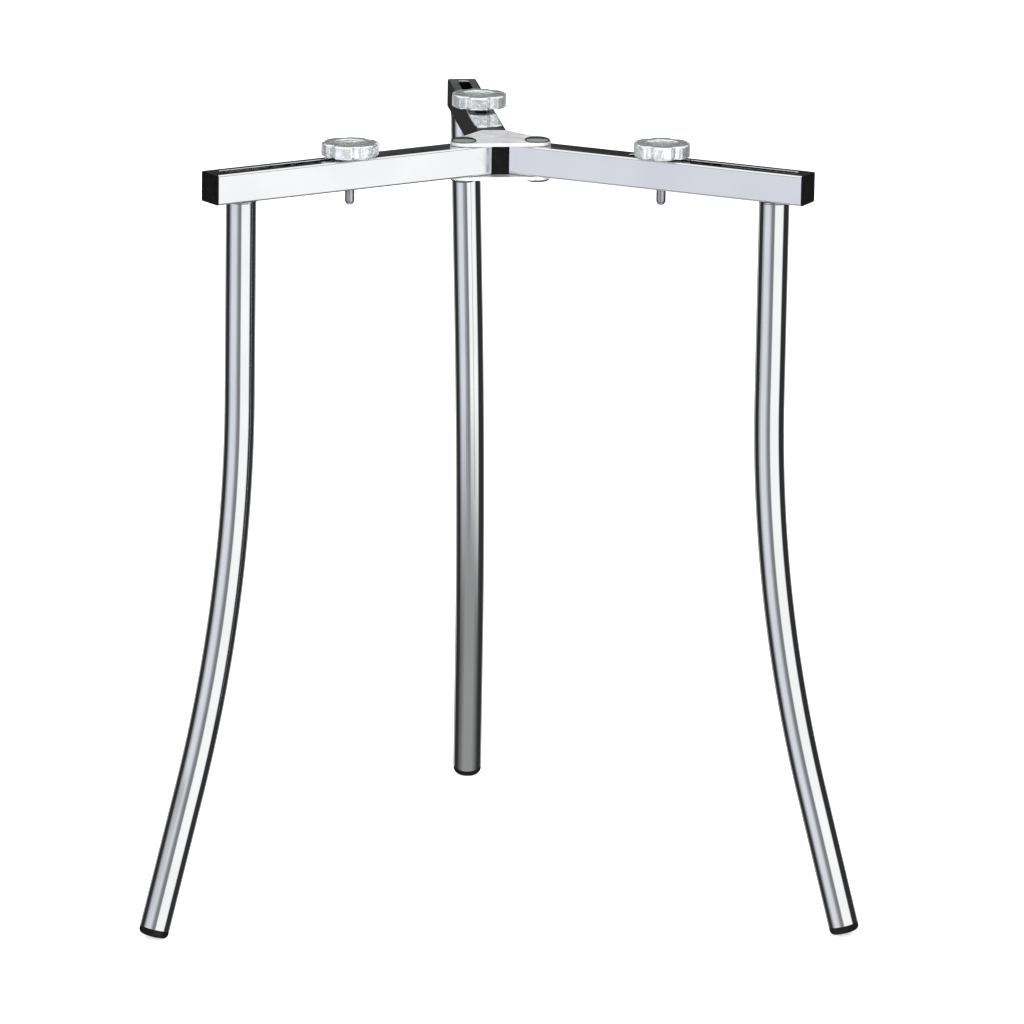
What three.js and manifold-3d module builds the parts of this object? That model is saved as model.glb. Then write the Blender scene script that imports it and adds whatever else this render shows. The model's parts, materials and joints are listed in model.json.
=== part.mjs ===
// A folding three-legged stand. Three slotted square-tube arms meet in a hub in a Y. Each arm stands on a
// round tube leg that is bent outwards, and carries a lobed clamp knob that slides along its slot. The back
// arm is fixed to the hub plates. The two front arms turn on rivets and fold back beside it. They stand open
// about as far apart as even thirds, but turned a little together, as they were left when last opened.
// Millimetres, +Z up, the back arm along +Y, the floor at z = 0.
import * as THREE from "three";
import { mergeVertices } from "three/addons/utils/BufferGeometryUtils.js";
import Module from "manifold-3d";

const wasm = await Module();
wasm.setup();

const GAP = 0.3; // air between pieces that touch or are welded in the real stand
const degrees = THREE.MathUtils.degToRad;

// Stock: one-inch square tube for the arms and one-inch round tube for the legs
const TUBE = 25.4;
const WALL = 1.6;
const TUBE_CORNER = 1.8; // outside corner radius of the square tube

// The stand as a whole
const ARM_TOP = 650; // height of the arms' top faces above the floor
const ARM_REACH = 287; // from the hub's axis to the outer end of each arm
const HUB_AZIMUTH = { left: degrees(210), right: degrees(330), back: degrees(90) }; // even thirds
const SWING = degrees(-2.8); // how far both front arms stand round their rivets from even thirds
const KNOB_PLACE = { left: 149.5, right: 152, back: 147.5 }; // along each arm, as if from the hub's axis
const KNOB_TURN = { left: degrees(43), right: degrees(57), back: degrees(53) }; // from the arm to a lobe
const BACK_LEG_LEAN = degrees(1.8); // the back leg leans a little towards +X about its arm

// Hub: two plates, with a rivet through each front arm
const PIVOT_RADIUS = 36; // from the hub's axis to each rivet
const PLATE = 3; // thickness
const LOBE = 11.5; // radius of the plates' ends round the rivets
const PLATE_BACK = { x: 9, y: 26, corner: 4 }; // the plates' two back corners
const FRONT_ARM_START = 16.2; // along a front arm to its inner end, counted as its knob's place is
const BACK_ARM_START = -2.5; // the back arm runs on past the hub's axis to this point
const NOSE = { width: 14, end: -17.5 }; // of the black spacer between the front arms' inner ends
const RIVET = { shank: 4, head: 10.8, headHeight: 3 };
const SLEEVE = { outer: 7, inner: 4.4 };

// Slots in the arms, measured from the hub's axis
const SLOT_WIDTH = 9.5;
const TOP_SLOT = { start: 122, end: 277 };
const BOTTOM_SLOT = { start: 122, end: 237 };

// End caps and inner plugs
const CAP = { face: 1.2, round: 0.4, plug: 9.5 };

// Legs
const LEG_INSET = 31; // from an arm's outer end to the leg's axis
const BEND_START = 194; // below the arm's top face
const BEND_RADIUS = 1200;
const BEND_ANGLE = degrees(16.1);
const LEG_STEPS = 16;
const FOOT = { plug: 14, height: 6.5, round: 4, worn: 0.4 };

// Clamps: knob, collar, threaded stud and the slider nut inside the tube
const KNOB = { radius: 24, lobes: 6, under: 1.8, top: 13, round: 2 };
const SCALLOP = { radius: 6, depth: 2.8 }; // the hollows between the knob's lobes
const DISH = { radius: 14.5, floor: 12, depth: 1.6 }; // in the knob's top
const COLLAR_RADIUS = 10;
const STUD = { radius: 3.97, top: 10.4, tip: -40, bore: 4.3 };
const SLIDER = { length: 24, height: 8 };

const finish = (color, roughness, metalness) =>
  new THREE.MeshStandardMaterial({ color, roughness, metalness });
const CHROME = () => finish(0xd9dcdf, 0.12, 1);
const STEEL = () => finish(0xb4b6b8, 0.35, 1);
const BLACK_PLASTIC = () => finish(0x141414, 0.5, 0);
const BLACK_RUBBER = () => finish(0x101010, 0.8, 0);

// Flat sides that stand in for a round, by its size
const SIDES = { small: 16, medium: 24, large: 32 };

// --- Geometry helpers ---

// A closed three.js geometry as a solid that can be cut and joined
function solidOf(geometry) {
  const bare = geometry.clone();
  bare.deleteAttribute("normal");
  bare.deleteAttribute("uv");
  const merged = mergeVertices(bare, 1e-3);
  const vertProperties = merged.getAttribute("position").array;
  const triVerts = new Uint32Array(merged.index.array);
  return new wasm.Manifold(new wasm.Mesh({ numProp: 3, vertProperties, triVerts }));
}

function geometryOf(solid) {
  const { vertProperties, triVerts } = solid.getMesh();
  const geometry = new THREE.BufferGeometry();
  geometry.setAttribute("position", new THREE.BufferAttribute(vertProperties, 3));
  geometry.setIndex(new THREE.BufferAttribute(triVerts, 1));
  geometry.computeVertexNormals();
  return geometry;
}

const cut = (body, ...tools) =>
  geometryOf(tools.reduce((left, tool) => left.subtract(solidOf(tool)), solidOf(body)));
const join = (...bodies) => geometryOf(bodies.map(solidOf).reduce((whole, more) => whole.add(more)));

// A box from its lowest and highest corners
function block(low, high) {
  const size = high.map((top, axis) => top - low[axis]);
  const middle = high.map((top, axis) => (top + low[axis]) / 2);
  return new THREE.BoxGeometry(...size).translate(...middle);
}

// A cylinder along Z
function rod(radius, low, high, sides = SIDES.medium) {
  const geometry = new THREE.CylinderGeometry(radius, radius, high - low, sides);
  return geometry.rotateX(Math.PI / 2).translate(0, 0, (low + high) / 2);
}

// A profile of [radius, height] points, turned round Z
function turned(profile, sides) {
  const points = profile.map(([radius, height]) => new THREE.Vector2(radius, height));
  return new THREE.LatheGeometry(points, sides).rotateX(Math.PI / 2);
}

function prism(shape, low, high, curveSegments = 5) {
  const options = { depth: high - low, bevelEnabled: false, curveSegments };
  return new THREE.ExtrudeGeometry(shape, options).translate(0, 0, low);
}

// A square with rounded corners, centred on the origin
function roundedSquare(width, corner) {
  const inner = width / 2 - corner;
  const shape = new THREE.Shape();
  shape.absarc(inner, inner, corner, 0, Math.PI / 2);
  shape.absarc(-inner, inner, corner, Math.PI / 2, Math.PI);
  shape.absarc(-inner, -inner, corner, Math.PI, 1.5 * Math.PI);
  shape.absarc(inner, -inner, corner, 1.5 * Math.PI, 2 * Math.PI);
  shape.closePath();
  return shape;
}

const alongX = (geometry) => geometry.rotateY(Math.PI / 2);

function add(group, name, geometry, material) {
  const mesh = new THREE.Mesh(geometry, material);
  mesh.name = name;
  group.add(mesh);
  return mesh;
}

// --- Arms. An arm's own frame has X along the arm from the hub's axis, and z = 0 on its top face ---

const ARM_MIDDLE = -TUBE / 2;

function slot({ start, end }, low, high) {
  const half = SLOT_WIDTH / 2;
  const shape = new THREE.Shape();
  shape.absarc(end - half, 0, half, -Math.PI / 2, Math.PI / 2);
  shape.absarc(start + half, 0, half, Math.PI / 2, 1.5 * Math.PI);
  shape.closePath();
  return prism(shape, low, high);
}

function armTube(start, pivoted) {
  const outline = roundedSquare(TUBE, TUBE_CORNER);
  outline.holes.push(roundedSquare(TUBE - 2 * WALL, 0.4));
  const end = ARM_REACH - CAP.face - GAP;
  const tube = alongX(prism(outline, start, end, 2)).translate(0, 0, ARM_MIDDLE);
  const cuts = [slot(TOP_SLOT, -WALL - 1, 1), slot(BOTTOM_SLOT, -TUBE - 1, -TUBE + WALL + 1)];
  if (pivoted) {
    cuts.push(rod(SLEEVE.inner, -TUBE - 1, 1).translate(PIVOT_RADIUS, 0, 0));
  }
  return cut(tube, ...cuts);
}

const PLUG_WIDTH = TUBE - 2 * WALL - 2 * GAP;
const PLUG_CORNER = 0.6;

// A black cap: a face as large as the tube, and a plug that fills the tube's end. It faces +X.
function endCap() {
  const outline = roundedSquare(TUBE, TUBE_CORNER);
  const bevel = {
    depth: CAP.face - 2 * CAP.round,
    bevelThickness: CAP.round,
    bevelSize: CAP.round,
    bevelOffset: -CAP.round,
    bevelSegments: 1,
    curveSegments: 2,
  };
  const face = new THREE.ExtrudeGeometry(outline, bevel).translate(0, 0, CAP.round - CAP.face);
  const plug = prism(roundedSquare(PLUG_WIDTH, PLUG_CORNER), -CAP.plug, -CAP.face / 2, 1);
  return alongX(join(face, plug)).translate(0, 0, ARM_MIDDLE);
}

// The back arm's inner cap, with a narrower nose that fills the space between the front arms
function nosedCap() {
  const half = NOSE.width / 2;
  const length = BACK_ARM_START - NOSE.end;
  return join(endCap(), block([-CAP.face / 2, -half, -TUBE], [length, half, 0]));
}

function frontPlug() {
  const square = prism(roundedSquare(PLUG_WIDTH, PLUG_CORNER), 0, CAP.plug, 1);
  return alongX(square).translate(FRONT_ARM_START, 0, ARM_MIDDLE);
}

// --- Legs. A leg's own frame hangs from the arm's underside: X outwards, Z up ---

// How far a leg's upper end is below the arm's top face. A leg that leans starts lower, clear of the arm.
const legTop = (lean) => TUBE + GAP + (TUBE / 2) * Math.sin(lean);
const STRAIGHT = BEND_START - legTop(0);

class LegLine extends THREE.Curve {
  constructor(length) {
    super();
    this.length = length;
  }

  getPoint(t, target = new THREE.Vector3()) {
    const run = t * this.length;
    const bent = THREE.MathUtils.clamp((run - STRAIGHT) / BEND_RADIUS, 0, BEND_ANGLE);
    const after = Math.max(run - STRAIGHT - BEND_RADIUS * BEND_ANGLE, 0);
    const x = BEND_RADIUS * (1 - Math.cos(bent)) + after * Math.sin(bent);
    const down = Math.min(run, STRAIGHT) + BEND_RADIUS * Math.sin(bent) + after * Math.cos(bent);
    return target.set(x, 0, -down);
  }
}

// How far a foot's lowest point is below the middle of its tube's end: the foot tips with the leg
const FOOT_DROP =
  (FOOT.height - FOOT.round) * Math.cos(BEND_ANGLE) +
  FOOT.round +
  (TUBE / 2 - FOOT.round) * Math.sin(BEND_ANGLE) -
  FOOT.worn;

// The tube's length along its middle line, for a leg that leans sideways by this angle
function legLength(lean) {
  const drop = (ARM_TOP - legTop(lean) - FOOT_DROP) / Math.cos(lean);
  const lastStretch = drop - STRAIGHT - BEND_RADIUS * Math.sin(BEND_ANGLE);
  return STRAIGHT + BEND_RADIUS * BEND_ANGLE + lastStretch / Math.cos(BEND_ANGLE);
}

function legTube(length) {
  const section = new THREE.Shape();
  section.absarc(0, 0, TUBE / 2, 0, 2 * Math.PI);
  const bore = new THREE.Path();
  bore.absarc(0, 0, TUBE / 2 - WALL, 0, 2 * Math.PI);
  section.holes.push(bore);
  const extrudePath = new LegLine(length);
  const options = { steps: LEG_STEPS, extrudePath, bevelEnabled: false, curveSegments: SIDES.medium / 2 };
  return geometryOf(solidOf(new THREE.ExtrudeGeometry(section, options)));
}

// A foot plugs into the leg's lower end. Its rounded underside is worn flat where it meets the floor.
function foot(length, lean) {
  const rim = TUBE / 2;
  const plug = rim - WALL - GAP;
  const rounding = [0, 30, 60, 90].map(degrees).map((angle) => [
    rim - FOOT.round + FOOT.round * Math.sin(angle),
    -FOOT.height + FOOT.round - FOOT.round * Math.cos(angle),
  ]);
  const upper = [[rim, -GAP], [plug, -GAP], [plug, FOOT.plug], [0, FOOT.plug]];
  const profile = [[0, -FOOT.height], ...rounding, ...upper];
  const end = new LegLine(length).getPoint(1);
  const body = turned(profile, SIDES.medium).rotateY(-BEND_ANGLE).translate(...end);
  const floor = block([-200, -100, -60], [200, 100, 0]);
  floor.translate(0, 0, legTop(lean) - ARM_TOP).rotateX(lean);
  return cut(body, floor);
}

// --- Clamps. A clamp's own frame is on the arm's top face, with Z up through the stud ---

function knob() {
  const bevel = {
    depth: KNOB.top - KNOB.under - 2 * KNOB.round,
    bevelThickness: KNOB.round,
    bevelSize: KNOB.round,
    bevelOffset: -KNOB.round,
    bevelSegments: 3,
    curveSegments: SIDES.large,
  };
  const disc = new THREE.Shape();
  disc.absarc(0, 0, KNOB.radius, 0, 2 * Math.PI);
  const body = new THREE.ExtrudeGeometry(disc, bevel).translate(0, 0, KNOB.under + KNOB.round);
  const scallops = [];
  for (let i = 0; i < KNOB.lobes; i++) {
    const hollow = rod(SCALLOP.radius, KNOB.under - 1, KNOB.top + 1);
    hollow.translate(KNOB.radius - SCALLOP.depth + SCALLOP.radius, 0, 0);
    scallops.push(hollow.rotateZ(((i + 0.5) * 2 * Math.PI) / KNOB.lobes));
  }
  const floor = KNOB.top - DISH.depth;
  const above = KNOB.top + 0.1;
  const dish = turned([[0, floor], [DISH.floor, floor], [DISH.radius, above], [0, above]], SIDES.large);
  return cut(body, dish, rod(STUD.bore, KNOB.under - 1, STUD.top + GAP, SIDES.small), ...scallops);
}

function stud() {
  const tip = [0, 30, 60, 90].map(degrees).map((angle) => [
    STUD.radius * Math.sin(angle),
    STUD.tip + STUD.radius * (1 - Math.cos(angle)),
  ]);
  return geometryOf(solidOf(turned([...tip, [STUD.radius, STUD.top], [0, STUD.top]], SIDES.small)));
}

const collar = () =>
  cut(rod(COLLAR_RADIUS, GAP, KNOB.under - GAP), rod(STUD.bore, 0, KNOB.under, SIDES.small));

function sliderNut() {
  const top = -WALL - GAP;
  const half = [SLIDER.length / 2, TUBE / 2 - WALL - GAP];
  const body = block([-half[0], -half[1], top - SLIDER.height], [half[0], half[1], top]);
  return cut(body, rod(STUD.bore, top - SLIDER.height - 1, top + 1, SIDES.small));
}

// --- Hub ---

const inDirection = (angle, radius) =>
  new THREE.Vector2(Math.cos(angle), Math.sin(angle)).multiplyScalar(radius);
const pivotPoint = (side) => inDirection(HUB_AZIMUTH[side], PIVOT_RADIUS);

// A plate's outline is a belt round four circles: two large lobes in front, two small corners behind
function plate(low, high) {
  const left = pivotPoint("left");
  const right = pivotPoint("right");
  const circles = [
    [right, LOBE],
    [new THREE.Vector2(PLATE_BACK.x, PLATE_BACK.y), PLATE_BACK.corner],
    [new THREE.Vector2(-PLATE_BACK.x, PLATE_BACK.y), PLATE_BACK.corner],
    [left, LOBE],
  ];
  // The belt's straight runs leave each circle at the angle of the run's outward normal
  const normals = circles.map(([centre, radius], i) => {
    const [next, nextRadius] = circles[(i + 1) % circles.length];
    const run = next.clone().sub(centre);
    return run.angle() - Math.acos((radius - nextRadius) / run.length());
  });
  const outline = new THREE.Shape();
  circles.forEach(([centre, radius], i) => {
    const from = normals[(i + circles.length - 1) % circles.length];
    outline.absarc(centre.x, centre.y, radius, from, normals[i]);
  });
  outline.closePath();
  const holes = [left, right].map(({ x, y }) => rod(SLEEVE.inner, low - 1, high + 1).translate(x, y, 0));
  return cut(prism(outline, low, high, 6), ...holes);
}

const PLATE_TOP = GAP + PLATE; // above the arms' top faces
const PLATE_UNDER = -TUBE - GAP - PLATE;

// One rivet: a low domed head above the top plate, the same below the bottom plate, and a shank between
function rivet() {
  const { shank, head, headHeight } = RIVET;
  const dome = (seat, up) => [
    [shank, seat],
    [head, seat],
    [head - 0.5, seat + up * 0.55 * headHeight],
    [head / 2, seat + up * 0.9 * headHeight],
    [0, seat + up * headHeight],
  ];
  const below = dome(PLATE_UNDER - GAP, -1).reverse();
  return geometryOf(solidOf(turned([...below, ...dome(PLATE_TOP + GAP, 1)], SIDES.medium)));
}

const sleeve = () => {
  const low = -TUBE + WALL + GAP;
  const high = -WALL - GAP;
  return cut(rod(SLEEVE.outer, low, high), rod(SLEEVE.inner, low - 1, high + 1));
};

// --- The stand ---

const stand = new THREE.Group();
const hub = new THREE.Group();
hub.position.z = ARM_TOP;
stand.add(hub);

add(hub, "hub_top_plate", plate(GAP, PLATE_TOP), STEEL());
add(hub, "hub_bottom_plate", plate(PLATE_UNDER, -TUBE - GAP), STEEL());

for (const side of ["back", "left", "right"]) {
  const pivoted = side !== "back";
  const arm = new THREE.Group();
  hub.add(arm);
  arm.rotation.z = HUB_AZIMUTH[side];
  if (pivoted) {
    arm.rotation.z += SWING;
    const origin = pivotPoint(side).sub(inDirection(arm.rotation.z, PIVOT_RADIUS));
    arm.position.set(origin.x, origin.y, 0);
  }

  const start = pivoted ? FRONT_ARM_START : BACK_ARM_START + CAP.face + GAP;
  add(arm, side + "_arm", armTube(start, pivoted), CHROME());
  add(arm, side + "_outer_cap", endCap(), BLACK_PLASTIC()).position.x = ARM_REACH;
  if (pivoted) {
    add(arm, side + "_inner_plug", frontPlug(), BLACK_PLASTIC());
    add(arm, side + "_rivet", rivet(), STEEL()).position.x = PIVOT_RADIUS;
    add(arm, side + "_sleeve", sleeve(), STEEL()).position.x = PIVOT_RADIUS;
  } else {
    const innerCap = add(arm, "back_inner_cap", nosedCap(), BLACK_PLASTIC());
    innerCap.rotation.z = Math.PI;
    innerCap.position.x = BACK_ARM_START;
  }

  const lean = pivoted ? 0 : BACK_LEG_LEAN;
  const length = legLength(lean);
  const leg = new THREE.Group();
  leg.position.set(ARM_REACH - LEG_INSET, 0, -legTop(lean));
  leg.rotation.x = -lean;
  arm.add(leg);
  add(leg, side + "_leg", legTube(length), CHROME());
  add(leg, side + "_foot", foot(length, lean), BLACK_RUBBER());

  const clamp = new THREE.Group();
  clamp.position.x = KNOB_PLACE[side];
  clamp.rotation.z = KNOB_TURN[side];
  arm.add(clamp);
  add(clamp, side + "_knob", knob(), CHROME());
  add(clamp, side + "_stud", stud(), STEEL());
  add(clamp, side + "_collar", collar(), STEEL());
  add(clamp, side + "_slider_nut", sliderNut(), STEEL()).rotation.z = -KNOB_TURN[side];
}

// The footprint's middle goes on the z axis
stand.updateMatrixWorld(true);
const footprint = new THREE.Box3().setFromObject(stand, true).getCenter(new THREE.Vector3());
stand.position.set(-footprint.x, -footprint.y, 0);

export default stand;
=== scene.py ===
"""Looks of the folding three-legged stand: chrome tube arms and legs, plated hub plates and rivets, lobed
clamp knobs, black caps and feet. Metres, in the CAD model's frame."""

import json
import math

import bmesh
import bpy
from mathutils import Matrix, Vector

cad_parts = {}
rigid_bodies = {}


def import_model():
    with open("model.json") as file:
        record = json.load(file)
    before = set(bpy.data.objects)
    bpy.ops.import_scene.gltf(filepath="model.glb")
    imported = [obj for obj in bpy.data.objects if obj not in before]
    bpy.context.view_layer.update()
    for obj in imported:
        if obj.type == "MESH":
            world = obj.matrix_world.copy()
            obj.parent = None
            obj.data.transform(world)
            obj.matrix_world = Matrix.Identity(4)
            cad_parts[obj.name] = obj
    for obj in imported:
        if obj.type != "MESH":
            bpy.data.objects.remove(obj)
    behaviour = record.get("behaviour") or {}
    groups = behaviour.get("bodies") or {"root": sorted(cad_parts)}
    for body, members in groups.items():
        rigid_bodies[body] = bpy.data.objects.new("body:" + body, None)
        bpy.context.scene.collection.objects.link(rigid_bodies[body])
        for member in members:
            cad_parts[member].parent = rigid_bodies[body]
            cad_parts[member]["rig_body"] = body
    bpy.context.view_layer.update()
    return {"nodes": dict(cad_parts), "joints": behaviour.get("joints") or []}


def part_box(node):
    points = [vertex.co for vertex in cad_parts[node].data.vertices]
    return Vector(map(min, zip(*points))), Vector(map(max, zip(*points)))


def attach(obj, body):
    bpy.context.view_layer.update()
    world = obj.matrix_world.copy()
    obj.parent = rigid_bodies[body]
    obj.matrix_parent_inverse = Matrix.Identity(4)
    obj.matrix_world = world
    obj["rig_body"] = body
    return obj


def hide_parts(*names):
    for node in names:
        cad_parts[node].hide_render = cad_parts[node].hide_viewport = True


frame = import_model()

MM = 0.001
SIDES = ("back", "left", "right")
joints = {joint["name"]: joint for joint in frame["joints"]}

# --- Driving sizes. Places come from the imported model, section sizes repeat the CAD source's ---

TUBE = 25.4 * MM
WALL = 1.6 * MM
TUBE_CORNER = 1.8 * MM
GAP = 0.3 * MM
PIVOT_RADIUS = 36 * MM
ARM_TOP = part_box("back_arm")[1].z
PIVOTS = {side: Vector(joints[side + "_arm_fold"]["pos_m"]) for side in ("left", "right")}
BACK_ARM_MIDDLE = sum(corner.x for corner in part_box("back_arm")) / 2
HUB = Vector((BACK_ARM_MIDDLE, PIVOTS["left"].y + PIVOT_RADIUS / 2, ARM_TOP))
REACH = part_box("back_outer_cap")[1].y - HUB.y

SLOT_WIDTH = 9.5 * MM
TOP_SLOT = (122 * MM, 277 * MM)
BOTTOM_SLOT = (122 * MM, 237 * MM)
FRONT_ARM_START = 16.2 * MM
BACK_ARM_START = -2.5 * MM
NOSE_WIDTH = 14 * MM
NOSE_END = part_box("back_inner_cap")[0].y - HUB.y
CAP_FACE = 1.2 * MM

LEG_INSET = 31 * MM
BEND_START = 194 * MM
BEND_RADIUS = 1200 * MM
BEND_ANGLE = math.radians(16.1)
BACK_LEG_LEAN = math.radians(1.8)
FOOT_HEIGHT = 6.5 * MM
FOOT_ROUND = 4 * MM
FOOT_WORN = 0.4 * MM

LOBE = 11.5 * MM
PLATE = 3 * MM
PLATE_BACK = (9 * MM, 26 * MM, 4 * MM)
RIVET_HEAD = (10.8 * MM, 3 * MM)

KNOB_RADIUS = 24 * MM
KNOB_UNDER = 1.8 * MM
KNOB_TOP = 13 * MM
KNOB_LOBES = 6
KNOB_TURN = {"left": math.radians(43), "right": math.radians(57), "back": math.radians(53)}
SCALLOP = 6 * MM
SCALLOP_DEPTH = 2.8 * MM
DISH = 14.5 * MM
DISH_DEPTH = 1.6 * MM
COLLAR_TOP = 1.5 * MM
STUD_RADIUS = 3.97 * MM
STUD_TIP = -40 * MM
THREAD_PITCH = 25.4 / 18 * MM


def azimuth(side):
    """Which way an arm points, from the direction its clamp slides in."""
    along = joints[side + "_knob_slide"]["axis"]
    return math.atan2(along[1], along[0])


def arm_place(side, along=0.0, up=0.0):
    """The frame of an arm: X along it, Z up from its top face. A front arm's rivet is PIVOT_RADIUS
    along."""
    if side == "back":
        start, before = HUB, 0.0
    else:
        start, before = Vector((PIVOTS[side].x, PIVOTS[side].y, ARM_TOP)), PIVOT_RADIUS
    turn = Matrix.Rotation(azimuth(side), 4, "Z")
    return Matrix.Translation(start) @ turn @ Matrix.Translation((along - before, 0, up))


def body_of(node):
    return frame["nodes"][node]["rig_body"]


# --- Materials ---


class Nodes:
    """A material's node tree, with short calls for what the finishes below share."""

    def __init__(self, name):
        self.material = bpy.data.materials.new(name)
        self.material.use_nodes = True
        self.tree = self.material.node_tree
        self.shader = self.tree.nodes["Principled BSDF"]
        self.place = self.tree.nodes.new("ShaderNodeTexCoord").outputs["Object"]

    def new(self, kind, **settings):
        node = self.tree.nodes.new(kind)
        for key, value in settings.items():
            setattr(node, key, value)
        return node

    def link(self, output, to_input):
        self.tree.links.new(output, to_input)

    def noise(self, scale, detail=3.0, stretch=(1, 1, 1)):
        """Noise with features 1 / scale metres across, stretched along an axis if asked."""
        mapping = self.new("ShaderNodeMapping")
        mapping.inputs["Scale"].default_value = stretch
        self.link(self.place, mapping.inputs["Vector"])
        noise = self.new("ShaderNodeTexNoise")
        noise.inputs["Scale"].default_value = scale
        noise.inputs["Detail"].default_value = detail
        self.link(mapping.outputs["Vector"], noise.inputs["Vector"])
        return noise.outputs["Fac"]

    def ramp(self, value, stops):
        """Colours, or greys given as one number, at these positions along the value."""
        ramp = self.new("ShaderNodeValToRGB")
        elements = ramp.color_ramp.elements
        while len(elements) < len(stops):
            elements.new(0.5)
        for element, (position, colour) in zip(elements, stops):
            element.position = position
            grey = isinstance(colour, (int, float))
            element.color = (colour, colour, colour, 1) if grey else (*colour, 1)
        self.link(value, ramp.inputs["Fac"])
        return ramp.outputs["Color"]

    def bump(self, height, strength, distance, after=None):
        bump = self.new("ShaderNodeBump")
        bump.inputs["Strength"].default_value = strength
        bump.inputs["Distance"].default_value = distance
        self.link(height, bump.inputs["Height"])
        if after is not None:
            self.link(after, bump.inputs["Normal"])
        self.link(bump.outputs["Normal"], self.shader.inputs["Normal"])
        return bump.outputs["Normal"]


def chrome(name, tint, roughness, ripple):
    """Bright plate: a faint cloudiness in colour and gloss, and the slight ripple of polished tube."""
    nodes = Nodes(name)
    nodes.shader.inputs["Metallic"].default_value = 1.0
    low, high = roughness
    darker = tuple(0.94 * channel for channel in tint)
    cloud = nodes.noise(18, 4)
    nodes.link(nodes.ramp(cloud, [(0.3, darker), (0.65, tint)]), nodes.shader.inputs["Base Color"])
    smears = nodes.noise(90, 5)
    nodes.link(nodes.ramp(smears, [(0.35, low), (0.7, high)]), nodes.shader.inputs["Roughness"])
    polish = nodes.bump(nodes.noise(2500, 2), 0.04, 0.00002)
    nodes.bump(nodes.noise(60, 2), ripple, 0.0002, polish)
    return nodes.material


def plated_steel(name, tint, roughness, grain):
    """Duller plate with fine drawn lines along X and a cloudy zinc bloom."""
    nodes = Nodes(name)
    nodes.shader.inputs["Metallic"].default_value = 1.0
    low, high = roughness
    darker = tuple(0.8 * channel for channel in tint)
    bloom = nodes.noise(120, 6)
    nodes.link(nodes.ramp(bloom, [(0.3, darker), (0.7, tint)]), nodes.shader.inputs["Base Color"])
    lines = nodes.noise(300, 3, (0.15, 6, 6))
    nodes.link(nodes.ramp(lines, [(0.3, low), (0.7, high)]), nodes.shader.inputs["Roughness"])
    nodes.bump(lines, grain, 0.00005)
    return nodes.material


def moulded_black(name, shade, roughness, grain_scale, grain):
    """Black plastic or rubber with a fine moulded grain and slightly greyer scuffs."""
    nodes = Nodes(name)
    nodes.shader.inputs["Specular IOR Level"].default_value = 0.14
    scuffs = nodes.noise(140, 6)
    greyer = tuple(2.6 * channel for channel in shade)
    nodes.link(nodes.ramp(scuffs, [(0.45, shade), (0.8, greyer)]), nodes.shader.inputs["Base Color"])
    low, high = roughness
    wear = nodes.noise(60, 3)
    nodes.link(nodes.ramp(wear, [(0.3, low), (0.7, high)]), nodes.shader.inputs["Roughness"])
    nodes.bump(nodes.noise(grain_scale, 2), grain, 0.0001)
    return nodes.material


def satin(name, tint, roughness, metallic, lumps, lump_size):
    """Satin plate over slightly uneven cast or rolled metal: soft lumps, cloudy gloss, greyer patches."""
    nodes = Nodes(name)
    nodes.shader.inputs["Metallic"].default_value = metallic
    low, high = roughness
    darker = tuple(0.86 * channel for channel in tint)
    cloud = nodes.noise(0.7 / lump_size, 4)
    nodes.link(nodes.ramp(cloud, [(0.35, darker), (0.6, tint)]), nodes.shader.inputs["Base Color"])
    smears = nodes.noise(160, 5)
    nodes.link(nodes.ramp(smears, [(0.35, low), (0.7, high)]), nodes.shader.inputs["Roughness"])
    nodes.bump(nodes.noise(1 / lump_size, 2), lumps, 0.3 * lump_size)
    return nodes.material


FINISH = {
    "chrome_tube": chrome("chrome_tube", (0.93, 0.94, 0.95), (0.03, 0.07), 0.05),
    "knob_chrome": satin("knob_chrome", (0.90, 0.94, 0.95), (0.10, 0.24), 0.74, 0.60, 4.5 * MM),
    "plate_steel": satin("plate_steel", (0.95, 0.95, 0.98), (0.34, 0.50), 0.60, 0.10, 12 * MM),
    # The rivets' dark greenish tint is a painted reflection: it stands in for the dark, greenish room their
    # tops mirror
    "rivet_steel": plated_steel("rivet_steel", (0.29, 0.33, 0.31), (0.14, 0.28), 0.10),
    "clamp_steel": plated_steel("clamp_steel", (0.66, 0.67, 0.68), (0.22, 0.42), 0.20),
    "weld_steel": plated_steel("weld_steel", (0.55, 0.56, 0.57), (0.12, 0.28), 0.05),
    "black_plastic": moulded_black("black_plastic", (0.003, 0.003, 0.003), (0.35, 0.5), 2200, 0.25),
    "foot_rubber": moulded_black("foot_rubber", (0.005, 0.005, 0.005), (0.55, 0.8), 1500, 0.5),
}

# --- Mesh helpers. Pieces are built in a local frame, then their vertices are put in place ---


def mesh_of(name, points, faces):
    mesh = bpy.data.meshes.new(name)
    mesh.from_pydata([tuple(point) for point in points], [], faces)
    mesh.validate()
    return mesh


def tidy_shading(mesh, sharp_degrees):
    """Faces outward, smooth shading, and edges sharper than this angle kept crisp."""
    bm = bmesh.new()
    bm.from_mesh(mesh)
    bmesh.ops.remove_doubles(bm, verts=bm.verts, dist=1e-7)
    bmesh.ops.recalc_face_normals(bm, faces=bm.faces)
    bm.to_mesh(mesh)
    bm.free()
    mesh.polygons.foreach_set("use_smooth", [True] * len(mesh.polygons))
    mesh.set_sharp_from_angle(angle=math.radians(sharp_degrees))


def add_piece(mesh, slot, node, place=None, stands_for=(), sharp=35, finish=None):
    """Puts a mesh in the scene as a piece that rides on the node's body."""
    if place is not None:
        mesh.transform(place)
    tidy_shading(mesh, sharp)
    piece = bpy.data.objects.new(mesh.name, mesh)
    bpy.context.scene.collection.objects.link(piece)
    mesh.materials.append(FINISH[finish or slot])
    weighted = piece.modifiers.new("weighted", "WEIGHTED_NORMAL")
    weighted.keep_sharp = True
    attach(piece, body_of(node))
    if stands_for:
        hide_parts(*stands_for)


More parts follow.
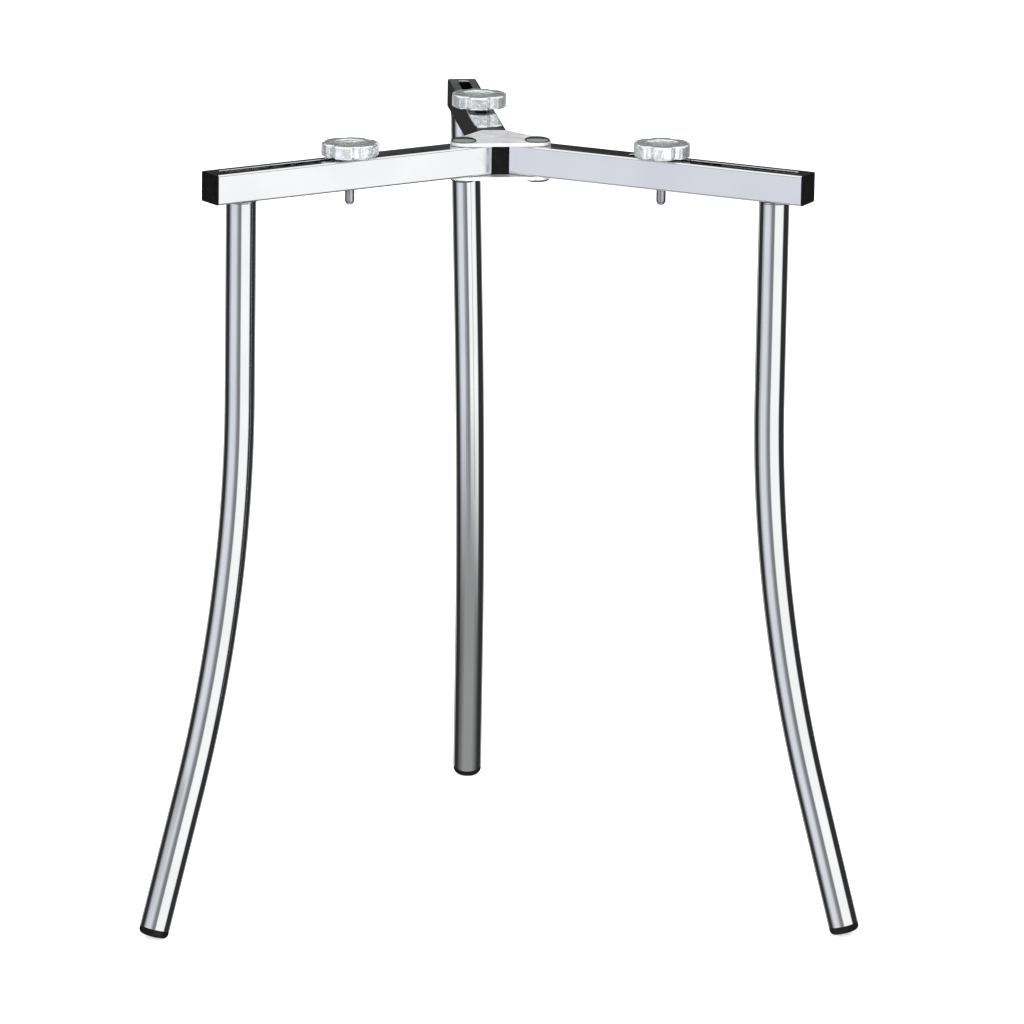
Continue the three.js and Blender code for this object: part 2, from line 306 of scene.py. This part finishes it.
def loft(name, rings, loop=False):
    """Skins rings of equal length in order. The ends are filled, or joined to each other in a loop."""
    count = len(rings[0])
    points = [point for ring in rings for point in ring]
    faces = []
    spans = len(rings) if loop else len(rings) - 1
    for i in range(spans):
        this, after = i * count, ((i + 1) % len(rings)) * count
        for j in range(count):
            k = (j + 1) % count
            faces.append((this + j, this + k, after + k, after + j))
    if not loop:
        faces.append(tuple(range(count))[::-1])
        faces.append(tuple(range(len(points) - count, len(points))))
    return mesh_of(name, points, faces)


def circle(radius, height, count):
    steps = [2 * math.pi * i / count for i in range(count)]
    return [Vector((radius * math.cos(a), radius * math.sin(a), height)) for a in steps]


def turned(name, profile, count=64):
    """A profile of (radius, height) pairs turned round Z. Its ends are filled."""
    return loft(name, [circle(max(radius, 1e-5), height, count) for radius, height in profile])


def arc(centre, radius, start, end, steps):
    """Points on a circle round centre, from one angle to another in degrees."""
    angles = [math.radians(start + (end - start) * i / steps) for i in range(steps + 1)]
    return [(centre[0] + radius * math.cos(a), centre[1] + radius * math.sin(a)) for a in angles]


def rounded_square(width, corner, steps):
    inner = width / 2 - corner
    centres = ((inner, inner), (-inner, inner), (-inner, -inner), (inner, -inner))
    return [p for i, c in enumerate(centres) for p in arc(c, corner, 90 * i, 90 * i + 90, steps)]


def carve(mesh, cutters):
    """The mesh with each cutter's volume taken out."""
    body = bpy.data.objects.new("carved", mesh)
    bpy.context.scene.collection.objects.link(body)
    helpers = []
    for cutter in cutters:
        helper = bpy.data.objects.new("cutter", cutter)
        bpy.context.scene.collection.objects.link(helper)
        helpers.append(helper)
        boolean = body.modifiers.new("cut", "BOOLEAN")
        boolean.operation = "DIFFERENCE"
        boolean.solver = "EXACT"
        boolean.object = helper
    shown = body.evaluated_get(bpy.context.evaluated_depsgraph_get())
    made = bpy.data.meshes.new_from_object(shown)
    made.name = mesh.name
    for helper in [*helpers, body]:
        bpy.data.objects.remove(helper)
    return made


# --- Arms ---


def slot_cutter(span, direction):
    """A slot's volume through one wall, with a small chamfer at the outer rim. Its rim is at z = 0, and
    direction is 1 for a wall below the rim and -1 for a wall above it."""
    start, end = span
    half = SLOT_WIDTH / 2
    chamfer = 0.35 * MM

    def outline(grow, height):
        radius = half + grow
        right = arc((end - half, 0), radius, -90, 90, 16)
        left = arc((start + half, 0), radius, 90, 270, 16)
        return [Vector((x, y, height)) for x, y in right + left]

    above = 1 * MM
    levels = [(0, -WALL - above), (0, -chamfer), (chamfer + above, above)]
    mesh = loft("slot", [outline(grow, height * direction) for grow, height in levels])
    bm = bmesh.new()
    bm.from_mesh(mesh)
    bmesh.ops.recalc_face_normals(bm, faces=bm.faces)
    bm.to_mesh(mesh)
    bm.free()
    return mesh


def arm_mesh(side):
    start = FRONT_ARM_START if side != "back" else BACK_ARM_START + CAP_FACE + GAP
    end = REACH - CAP_FACE - GAP
    outer = rounded_square(TUBE, TUBE_CORNER, 8)
    inner = rounded_square(TUBE - 2 * WALL, 0.5 * MM, 8)

    def ring(section, x):
        return [Vector((x, y, z - TUBE / 2)) for y, z in section]

    rings = [ring(outer, start), ring(outer, end), ring(inner, end), ring(inner, start)]
    tube = loft(side + "_arm_tube", rings, loop=True)
    bottom = slot_cutter(BOTTOM_SLOT, -1)
    bottom.transform(Matrix.Translation((0, 0, -TUBE)))
    return carve(tube, [slot_cutter(TOP_SLOT, 1), bottom])


def end_cap_mesh(name):
    """A cap's face: a square with rounded corners, a softened edge and a very slight crown. It faces +X."""
    rounding = 0.7 * MM
    crown = 0.12 * MM
    rings = []
    for inset, x in (
        (0.0, -CAP_FACE),
        (0.0, -rounding - crown),
        (0.12 * rounding, -0.5 * rounding - crown),
        (0.45 * rounding, -0.15 * rounding - crown),
        (rounding, -crown),
        (3.0 * rounding, -0.4 * crown),
        (7.0 * rounding, -0.05 * crown),
    ):
        section = rounded_square(TUBE - 2 * inset, max(TUBE_CORNER - inset, 0.3 * MM), 8)
        rings.append([Vector((x, y, z - TUBE / 2)) for y, z in section])
    return loft(name, rings)


def nose_mesh(name):
    """The black block between the front arms' inner ends, with softened edges. It points along +X."""
    length = BACK_ARM_START - NOSE_END
    soft = 0.5 * MM
    profile = ((0, -GAP), (0, length - soft), (0.3 * soft, length - 0.3 * soft), (soft, length))
    rings = []
    for inset, x in profile:
        half = NOSE_WIDTH / 2 - inset
        corners = ((half, -inset), (-half, -inset), (-half, inset - TUBE), (half, inset - TUBE))
        ring = []
        for i, (y, z) in enumerate(corners):
            y_in = soft if y < 0 else -soft
            z_in = soft if z < -TUBE / 2 else -soft
            near = [(y, z + z_in), (y + 0.3 * y_in, z + 0.3 * z_in), (y + y_in, z)]
            ring += near if i % 2 == 0 else near[::-1]
        rings.append([Vector((x, y, z)) for y, z in ring])
    return loft(name, rings)


for side in SIDES:
    arm = side + "_arm"
    add_piece(arm_mesh(side), "chrome_tube", arm, arm_place(side), [arm], sharp=30)
    cap = side + "_outer_cap"
    add_piece(end_cap_mesh(cap + "_face"), "black_plastic", cap, arm_place(side, REACH), [cap])

facing_hub = arm_place("back", BACK_ARM_START) @ Matrix.Rotation(math.pi, 4, "Z")
inner_cap = end_cap_mesh("back_inner_cap_face")
add_piece(inner_cap, "black_plastic", "back_inner_cap", facing_hub, ["back_inner_cap"])
add_piece(nose_mesh("back_inner_cap_nose"), "black_plastic", "back_inner_cap", facing_hub)


# --- Legs, with their welds and feet ---

LEG_TOP = TUBE + GAP
LEG_STRAIGHT = BEND_START - LEG_TOP

# How far the middle of a foot's upper rim is above the ground, on its tilted leg
FOOT_DROP = (
    (FOOT_HEIGHT - FOOT_ROUND) * math.cos(BEND_ANGLE)
    + FOOT_ROUND
    + (TUBE / 2 - FOOT_ROUND) * math.sin(BEND_ANGLE)
    - FOOT_WORN
)


def leg_line(run):
    """Where a leg's middle line is, and which way it points, this far below its upper end."""
    bent = min(max((run - LEG_STRAIGHT) / BEND_RADIUS, 0), BEND_ANGLE)
    after = max(run - LEG_STRAIGHT - BEND_RADIUS * BEND_ANGLE, 0)
    x = BEND_RADIUS * (1 - math.cos(bent)) + after * math.sin(bent)
    down = min(run, LEG_STRAIGHT) + BEND_RADIUS * math.sin(bent) + after * math.cos(bent)
    return Vector((x, 0, -down)), bent


def leg_start(side):
    """How far a leg leans sideways, and how far below the arm's top face it starts, to clear the arm."""
    lean = BACK_LEG_LEAN if side == "back" else 0.0
    return lean, LEG_TOP + TUBE / 2 * math.sin(lean)


def leg_place(side):
    lean, top = leg_start(side)
    return arm_place(side, REACH - LEG_INSET, -top) @ Matrix.Rotation(-lean, 4, "X")


def leg_length(side):
    """From the leg's upper end to where its foot begins, along its middle line."""
    lean, top = leg_start(side)
    drop = (ARM_TOP - top - FOOT_DROP) / math.cos(lean)
    last = (drop - LEG_STRAIGHT - BEND_RADIUS * math.sin(BEND_ANGLE)) / math.cos(BEND_ANGLE)
    return LEG_STRAIGHT + BEND_RADIUS * BEND_ANGLE + last


def leg_mesh(side):
    """The tube as rings across its middle line, with a softened lower rim."""
    length = leg_length(side)
    bend_steps = 48
    bend_run = BEND_RADIUS * BEND_ANGLE
    runs = [0.0, LEG_STRAIGHT]
    runs += [LEG_STRAIGHT + bend_run * (i + 1) / bend_steps for i in range(bend_steps)]
    rim = 0.4 * MM
    open_depth = 8 * MM
    profile = [(run, TUBE / 2) for run in runs]
    profile += [(length - rim, TUBE / 2), (length - 0.3 * rim, TUBE / 2 - 0.3 * rim)]
    profile += [(length, TUBE / 2 - rim), (length, TUBE / 2 - WALL), (length - open_depth, TUBE / 2 - WALL)]
    rings = []
    for run, radius in profile:
        centre, bent = leg_line(run)
        across = Matrix.Rotation(-bent, 3, "Y")
        rings.append([centre + across @ point for point in circle(radius, 0, 72)])
    return loft(side + "_leg_tube", rings)


def weld_mesh(side):
    """A fillet weld round a leg's upper end, wide along the arm and thin at its sides, with a ripple
    for every pass of the torch."""
    beads = 26
    count = beads * 8
    levels = 8
    height = 1.6 * MM
    spread = 1.0 * MM
    swell = 0.15 * MM
    ripple_height = 0.06 * MM
    widest = TUBE / 2 - 0.05 * MM
    rings = []
    for level in range(levels + 1):
        t = level / levels
        ring = []
        for i in range(count):
            angle = 2 * math.pi * i / count
            along = abs(math.cos(angle)) ** 1.3
            ripple = ripple_height * math.sin(beads * angle + 2.2 * t) * math.sin(math.pi * min(1, t * 1.2))
            fillet = (1 - math.sqrt(max(0, 1 - (1 - t) ** 2))) * spread * along
            bulge = swell * math.sin(math.pi * t)
            radius = TUBE / 2 + fillet + bulge + ripple * (0.4 + along)
            x = radius * math.cos(angle)
            y = radius * math.sin(angle)
            if t <= 0.6:
                y = max(-widest, min(widest, y))
            ring.append(Vector((x, y, GAP - height * t)))
        rings.append(ring)
    return loft(side + "_leg_weld", rings)


def foot_mesh(side):
    """A plug foot: a thin lip against the tube, a soft waist line, and a rounded, slightly worn
    underside that stops at the ground."""
    rim = TUBE / 2 - 0.15 * MM
    plug = rim - WALL - GAP
    lip = 0.25 * MM
    lip_top = -0.05 * MM
    waist = -1.3 * MM
    profile = [(plug, 6 * MM), (plug, lip_top), (rim - lip, lip_top), (rim, -lip)]
    profile += [(rim, waist + 0.2 * MM), (rim - 0.18 * MM, waist), (rim, waist - 0.2 * MM)]
    profile += arc((rim - FOOT_ROUND, -FOOT_HEIGHT + FOOT_ROUND), FOOT_ROUND, 0, -90, 12)
    profile += [(0.4 * rim, -FOOT_HEIGHT), (0.05 * rim, -FOOT_HEIGHT)]
    mesh = turned(side + "_foot_plug", profile, 72)
    end, bent = leg_line(leg_length(side))
    place = leg_place(side) @ Matrix.Translation(end) @ Matrix.Rotation(-bent, 4, "Y")
    mesh.transform(place)
    for vertex in mesh.vertices:
        vertex.co.z = max(vertex.co.z, 0.0)
    return mesh


for side in SIDES:
    leg = side + "_leg"
    add_piece(leg_mesh(side), "chrome_tube", leg, leg_place(side), [leg])
    weld_place = arm_place(side, REACH - LEG_INSET, -LEG_TOP)
    add_piece(weld_mesh(side), "chrome_tube", leg, weld_place, finish="weld_steel")
    foot = side + "_foot"
    add_piece(foot_mesh(side), "foot_rubber", foot, None, [foot])


# --- Hub: plates, rivets and the back arm's welds ---


def plate_outline(inset):
    """A belt round four circles in the hub's frame: two lobes round the rivets, two back corners."""
    back_x, back_y, corner = PLATE_BACK
    left = (PIVOTS["left"] - HUB).to_2d()
    right = (PIVOTS["right"] - HUB).to_2d()
    circles = [
        (right, LOBE - inset),
        (Vector((back_x, back_y)), corner - inset),
        (Vector((-back_x, back_y)), corner - inset),
        (left, LOBE - inset),
    ]
    normals = []
    for i, (centre, radius) in enumerate(circles):
        after, after_radius = circles[(i + 1) % 4]
        run = after - centre
        heading = math.atan2(run.y, run.x)
        normals.append(math.degrees(heading - math.acos((radius - after_radius) / run.length)))
    outline = []
    for i, (centre, radius) in enumerate(circles):
        first, last = normals[i - 1], normals[i]
        while last < first:
            last += 360
        outline += arc(centre, radius, first, last, 24)
    return outline


def plate_mesh(name, low, high):
    soft = 0.45 * MM
    levels = [(soft, low), (0.3 * soft, low + 0.3 * soft), (0, low + soft)]
    levels += [(0, high - soft), (0.3 * soft, high - 0.3 * soft), (soft, high)]
    rings = [[Vector((x, y, z)) for x, y in plate_outline(inset)] for inset, z in levels]
    return loft(name, rings)


def rivet_head(name, seat, up):
    """A broad dome, slightly flattened in the middle by the riveting tool, on a thin upright rim."""
    head, height = RIVET_HEAD
    chamfer = 0.25 * MM
    rim = 0.6 * MM
    steps = 12
    levels = [(head - chamfer, 0), (head, chamfer), (head, rim)]
    for i in range(1, steps):
        angle = math.pi / 2 * i / steps
        levels.append((head * math.cos(angle) ** 0.9, rim + (height - rim) * math.sin(angle)))
    levels.append((0.06 * head, height))
    return turned(name, [(radius, seat + up * level) for radius, level in levels])


def side_weld(name, x_side, under):
    """A short fillet in the corner between the back arm's side and a plate, rippled along its length."""
    start, end, size = 6 * MM, 26 * MM, 2.2 * MM
    bite = 0.05 * MM
    steps = 60
    rings = []
    for i in range(steps + 1):
        t = i / steps
        taper = math.sqrt(max(0.0, 1 - (2 * t - 1) ** 8))
        reach = size * taper * (1 + 0.08 * math.sin(40 * t)) + bite
        y = start + (end - start) * t
        corner = Vector((x_side * (TUBE / 2 - bite), y, 0))
        ring = [corner.copy()]
        for j in range(7):
            angle = math.radians(15 * j)
            hollow = 1 - 0.35 * math.sin(2 * angle)
            out = reach * hollow * math.cos(angle)
            down = reach * hollow * math.sin(angle)
            ring.append(corner + Vector((x_side * out, 0, -down if under else down)))
        rings.append(ring)
    return loft(name, rings)


hub_place = Matrix.Translation(HUB)
top_levels = (GAP, GAP + PLATE)
bottom_levels = (-TUBE - GAP - PLATE, -TUBE - GAP)
for name, levels in (("top_plate", top_levels), ("bottom_plate", bottom_levels)):
    plate = "hub_" + name
    add_piece(plate_mesh(name, *levels), "plate_steel", plate, hub_place, [plate])
top_weld_place = hub_place @ Matrix.Translation((0, 0, GAP))
low_weld_place = hub_place @ Matrix.Translation((0, 0, -TUBE - GAP))
for side in ("left", "right"):
    rivet = side + "_rivet"
    place = arm_place(side, PIVOT_RADIUS)
    add_piece(rivet_head(rivet + "_top", top_levels[1], 1), "rivet_steel", rivet, place, [rivet])
    add_piece(rivet_head(rivet + "_under", bottom_levels[0], -1), "rivet_steel", rivet, place, [rivet])
    sign = -1 if side == "left" else 1
    top = side_weld(side + "_top_weld", sign, True)
    add_piece(top, "plate_steel", "back_arm", top_weld_place, finish="weld_steel")
    low = side_weld(side + "_bottom_weld", sign, False)
    add_piece(low, "plate_steel", "back_arm", low_weld_place, finish="weld_steel")


# --- Clamps: knob, stud, collar ---


def lobed_ring(inset, height, share):
    """The knob's outline drawn in by inset: a circle with a scallop between each two lobes. The scallops
    fade as share goes to 0."""
    count = KNOB_LOBES * 40
    centre = KNOB_RADIUS - SCALLOP_DEPTH + SCALLOP
    soft = 0.5 * MM
    ring = []
    for i in range(count):
        angle = 2 * math.pi * i / count
        off = (angle * KNOB_LOBES / (2 * math.pi)) % 1 - 0.5
        sideways = centre * math.sin(off * 2 * math.pi / KNOB_LOBES)
        inside = SCALLOP * SCALLOP - sideways * sideways
        radius = KNOB_RADIUS
        if inside > 0:
            cut_radius = math.sqrt(centre * centre - sideways * sideways) - math.sqrt(inside)
            gap = cut_radius - KNOB_RADIUS
            radius += (gap - math.sqrt(gap * gap + soft * soft)) / 2
        r = KNOB_RADIUS - inset - share * (KNOB_RADIUS - radius)
        ring.append(Vector((r * math.cos(angle), r * math.sin(angle), height)))
    return ring


def knob_mesh(name):
    """A low star knob: six wide lobes, rounded rims and a shallow dish in its top."""
    soft = 2 * MM
    lower = arc((0, 0), soft, -90, 0, 8)
    upper = arc((0, 0), soft, 0, 90, 10)
    wall = [(KNOB_RADIUS - STUD_RADIUS - 1 * MM, KNOB_UNDER, 0)]
    wall += [(soft - dx, KNOB_UNDER + soft + dz, 1) for dx, dz in lower]
    wall += [(soft - dx, KNOB_TOP - soft + dz, 1 - 0.25 * dz / soft) for dx, dz in upper]
    lip = KNOB_RADIUS - DISH
    wall += [(lip - 2.6 * MM, KNOB_TOP, 0.3), (lip - 0.8 * MM, KNOB_TOP, 0.1)]
    wall += [(lip - 0.2 * MM, KNOB_TOP - 0.08 * MM, 0), (lip + 0.4 * MM, KNOB_TOP - 0.35 * MM, 0)]
    steps = 12
    for i in range(1, steps + 1):
        t = i / steps
        inset = lip + 0.4 * MM + (DISH - 1.2 * MM) * t
        depth = 0.35 * MM + (DISH_DEPTH - 0.35 * MM) * math.sin(t * math.pi / 2) ** 0.8
        wall.append((inset, KNOB_TOP - depth, 0))
    return loft(name, [lobed_ring(*level) for level in wall])


def stud_mesh(name):
    """The stud: a smooth rounded tip below, and a right-hand thread above it."""
    count = 48
    rings = []
    for radius, height in arc((0, STUD_TIP + STUD_RADIUS), STUD_RADIUS, -84, 0, 8):
        rings.append(circle(radius, height, count))
    thread_start, thread_end = STUD_TIP + 15 * MM, KNOB_UNDER
    turn_steps = 10
    steps = int((thread_end - thread_start) / THREAD_PITCH * turn_steps)
    depth = 0.55 * MM
    for i in range(steps + 1):
        height = thread_start + (thread_end - thread_start) * i / steps
        fade = min(1.0, i / turn_steps, (steps - i) / turn_steps)
        ring = []
        for j in range(count):
            angle = 2 * math.pi * j / count
            phase = (height / THREAD_PITCH - angle / (2 * math.pi)) % 1
            groove = max(0.0, abs(2 * phase - 1) - 0.1) * depth * fade
            radius = STUD_RADIUS - groove
            ring.append(Vector((radius * math.cos(angle), radius * math.sin(angle), height)))
        rings.append(ring)
    return loft(name, rings)


def collar_mesh(name):
    """The thin collar under a knob: turned, with chamfers and a fine groove round it."""
    radius = 10 * MM
    bore = STUD_RADIUS + 0.4 * MM
    low, high = GAP, COLLAR_TOP
    middle = (low + high) / 2
    soft = 0.2 * MM
    groove = 0.15 * MM
    profile = [(bore, low), (radius - soft, low), (radius, low + soft)]
    profile += [(radius, middle - groove), (radius - groove, middle), (radius, middle + groove)]
    profile += [(radius, high - soft), (radius - soft, high), (bore, high)]
    return loft(name, [circle(r, z, 72) for r, z in profile], loop=True)


for side in SIDES:
    centre = Vector(joints[side + "_knob_turn"]["pos_m"])
    turn = Matrix.Rotation(azimuth(side) + KNOB_TURN[side], 4, "Z")
    place = Matrix.Translation((centre.x, centre.y, ARM_TOP)) @ turn
    knob, stud, collar = (side + part for part in ("_knob", "_stud", "_collar"))
    add_piece(knob_mesh(knob + "_lobed"), "knob_chrome", knob, place, [knob], sharp=50)
    add_piece(stud_mesh(stud + "_threaded"), "clamp_steel", stud, place, [stud], sharp=60)
    add_piece(collar_mesh(collar + "_turned"), "clamp_steel", collar, place, [collar])

# Hidden or nearly hidden CAD nodes stay, with softened edges and their own finish
for node in frame["nodes"]:
    if node.endswith(("_slider_nut", "_sleeve", "_inner_plug")):
        kept = frame["nodes"][node]
        slot = "black_plastic" if node.endswith("_plug") else "clamp_steel"
        kept.data.materials.clear()
        kept.data.materials.append(FINISH[slot])
        bevel = kept.modifiers.new("soft_edges", "BEVEL")
        bevel.width = 0.4 * MM
        bevel.segments = 2
        bevel.limit_method = "ANGLE"


# --- Floor, light and camera ---

VIEW_TURN = math.radians(-6.73)
VIEW_DOWN = math.radians(13.754)
VIEW_ROLL = math.radians(0.929)
VIEW_DISTANCE = 6.4551
VIEW_TARGET = HUB + Vector((0.01667, -0.00197, -0.32283))
VIEW_LENS = 265.42

FLOOR_REACH = 20.0
FLOOR_LEVEL = -0.2 * MM


def pale_floor_material():
    """A matt, nearly white floor with faint clouds. It glows a little, so that it stays white in shade."""
    nodes = Nodes("pale_floor")
    nodes.shader.inputs["Roughness"].default_value = 0.9
    nodes.shader.inputs["Specular IOR Level"].default_value = 0.0
    tone = nodes.ramp(nodes.noise(3, 2), [(0.3, 0.93), (0.7, 0.95)])
    nodes.link(tone, nodes.shader.inputs["Base Color"])
    nodes.link(tone, nodes.shader.inputs["Emission Color"])
    nodes.shader.inputs["Emission Strength"].default_value = 0.6
    return nodes.material


floor_corners = [(FLOOR_REACH * x, FLOOR_REACH * y, 0) for x, y in ((-1, -1), (1, -1), (1, 1), (-1, 1))]
floor_mesh = mesh_of("floor", floor_corners, [(0, 1, 2, 3)])
floor_mesh.materials.append(pale_floor_material())
floor = bpy.data.objects.new("floor", floor_mesh)
floor.location.z = FLOOR_LEVEL
bpy.context.scene.collection.objects.link(floor)
floor.visible_glossy = False


# What the chrome mirrors. Brightness runs from 0, unlit, to 1, a white wall
DARK_ROOM = 0.03
GAP_LIGHT = 0.22
POOL = 0.3
FAR_STRIP = 0.5
UNDERNEATH = 0.7
PALE_WALL = 0.75
CEILING = 0.98
WHITE_WALL = 1.0
COOL = (0.96, 0.98, 1.06)
GREENISH = (0.92, 1.0, 0.95)

# Heights where one part of the room fades into the next, as sines of the angle above or below level
WALL_FOOT = (0.30, 0.62)
GROUND_EDGE = (0.78, 0.92)
WALL_TOP = (0.12, 0.19)
CEILING_EDGE = (0.36, 0.55)

# How near the far side's direction the clutter above the walls sets in, as a cosine
CLUTTER_EDGE = (0.4, 0.7)


def studio_world():
    """Plain white to the camera. The chrome mirrors a dark room with two walls in front and a dim gap
    between them, two strips in the far corners, light pooled on the ground, and a bright ceiling."""
    world = bpy.data.worlds.new("studio")
    bpy.context.scene.world = world
    world.use_nodes = True
    tree = world.node_tree
    tree.nodes.clear()
    new, link = tree.nodes.new, tree.links.new

    def math_node(operation, *values):
        node = new("ShaderNodeMath")
        node.operation = operation
        for socket, value in zip(node.inputs, values):
            if isinstance(value, (int, float)):
                socket.default_value = value
            else:
                link(value, socket)
        return node.outputs[0]

    def smooth(value, low, high):
        node = new("ShaderNodeMapRange")
        node.interpolation_type = "SMOOTHSTEP"
        link(value, node.inputs["Value"])
        node.inputs["From Min"].default_value = low
        node.inputs["From Max"].default_value = high
        return node.outputs["Result"]

    def mix(share, first, second, blend="MIX"):
        node = new("ShaderNodeMix")
        node.data_type = "RGBA"
        node.blend_type = blend
        if isinstance(share, float):
            node.inputs["Factor"].default_value = share
        else:
            link(share, node.inputs["Factor"])
        colours = [s for s in node.inputs if s.type == "RGBA"]
        for socket, value in zip(colours, (first, second)):
            if isinstance(value, tuple):
                socket.default_value = (*value, 1)
            else:
                link(value, socket)
        return next(s for s in node.outputs if s.type == "RGBA")

    def grey(level, tint=(1, 1, 1)):
        return tuple(level * channel for channel in tint)

    coordinates = new("ShaderNodeTexCoord")
    turned_view = new("ShaderNodeMapping")
    turned_view.inputs["Rotation"].default_value = (0, 0, -VIEW_TURN)
    link(coordinates.outputs["Generated"], turned_view.inputs["Vector"])
    axes = new("ShaderNodeSeparateXYZ")
    link(turned_view.outputs["Vector"], axes.inputs["Vector"])
    across, away, up = axes.outputs
    # 0 is the front of the room, where the camera stands, and positive is to the right
    bearing = math_node("ARCTAN2", across, math_node("MULTIPLY", away, -1))
    turn_share = math_node("ADD", math_node("DIVIDE", bearing, 2 * math.pi), 0.5)

    def panels_round(panels, dark):
        """Soft-edged panels round the room on an even dark level. A panel is its middle, half width and
        edge in degrees, and its colour."""
        stops = [(-180, grey(dark))]
        for middle, half, edge, panel_colour in panels:
            stops += [(middle - half - edge, grey(dark)), (middle - half, panel_colour)]
            stops += [(middle + half, panel_colour), (middle + half + edge, grey(dark))]
        stops.append((180, grey(dark)))
        node = new("ShaderNodeValToRGB")
        elements = node.color_ramp.elements
        while len(elements) < len(stops):
            elements.new(0.5)
        for element, (degrees, stop_colour) in zip(elements, stops):
            element.position = (degrees + 180) / 360
            element.color = (*stop_colour, 1)
        link(turn_share, node.inputs["Fac"])
        return node.outputs["Color"]

    far_left_strip = (-146, 6, 8, grey(FAR_STRIP))
    pale_wall = (-50, 15, 30, grey(PALE_WALL, COOL))
    white_wall = (40, 30, 10, grey(WHITE_WALL))
    far_right_strip = (152, 6, 8, grey(FAR_STRIP))
    walls = panels_round([far_left_strip, pale_wall, white_wall, far_right_strip], DARK_ROOM)
    gap = panels_round([(-8, 12, 10, grey(GAP_LIGHT))], 0.0)
    walls = mix(1.0, walls, gap, "LIGHTEN")
    ground = panels_round([(0, 40, 60, grey(POOL))], DARK_ROOM)

    down = math_node("MULTIPLY", up, -1)
    colour = mix(smooth(down, *WALL_FOOT), walls, ground)
    colour = mix(smooth(down, *GROUND_EDGE), colour, grey(UNDERNEATH))

    # Above the walls, cluttered shelves on the far side
    clutter = new("ShaderNodeTexNoise")
    clutter.inputs["Scale"].default_value = 16
    clutter.inputs["Detail"].default_value = 3
    link(coordinates.outputs["Generated"], clutter.inputs["Vector"])
    lit = smooth(clutter.outputs["Fac"], 0.52, 0.68)
    shelves = mix(lit, ground, grey(POOL, GREENISH))
    above = mix(smooth(away, *CLUTTER_EDGE), ground, shelves)
    colour = mix(smooth(up, *WALL_TOP), colour, above)
    colour = mix(smooth(up, *CEILING_EDGE), colour, grey(CEILING))

    room = new("ShaderNodeBackground")
    link(colour, room.inputs["Color"])
    backdrop = new("ShaderNodeBackground")
    backdrop.inputs["Color"].default_value = (1, 1, 1, 1)
    rays = new("ShaderNodeLightPath")
    chosen = new("ShaderNodeMixShader")
    link(rays.outputs["Is Camera Ray"], chosen.inputs["Fac"])
    link(room.outputs[0], chosen.inputs[1])
    link(backdrop.outputs[0], chosen.inputs[2])
    out = new("ShaderNodeOutputWorld")
    link(chosen.outputs[0], out.inputs["Surface"])


def soft_light(name, location, target, size, power):
    """A round area light that isn't itself mirrored in the chrome."""
    data = bpy.data.lights.new(name, "AREA")
    data.shape = "DISK"
    data.size = size
    data.energy = power
    light = bpy.data.objects.new(name, data)
    bpy.context.scene.collection.objects.link(light)
    light.location = location
    light.rotation_mode = "QUATERNION"
    light.rotation_quaternion = (Vector(target) - Vector(location)).to_track_quat("-Z", "Y")
    light.visible_glossy = False


studio_world()
soft_light("overhead", (0, 0, 4.5), (0, 0, 0), 5.0, 60)
soft_light("front_fill", (-1.2, -4.6, 1.3), (0, 0, 0.5), 3.0, 230)

camera_data = bpy.data.cameras.new("camera")
camera_data.sensor_width = 36
camera_data.lens = VIEW_LENS
camera_data.clip_end = 100
camera = bpy.data.objects.new("camera", camera_data)
bpy.context.scene.collection.objects.link(camera)
aim = (
    Matrix.Rotation(VIEW_TURN, 4, "Z")
    @ Matrix.Rotation(math.pi / 2 - VIEW_DOWN, 4, "X")
    @ Matrix.Rotation(VIEW_ROLL, 4, "Z")
)
camera.matrix_world = Matrix.Translation(VIEW_TARGET) @ aim @ Matrix.Translation((0, 0, VIEW_DISTANCE))
bpy.context.scene.camera = camera
bpy.context.scene.view_settings.view_transform = "Standard"
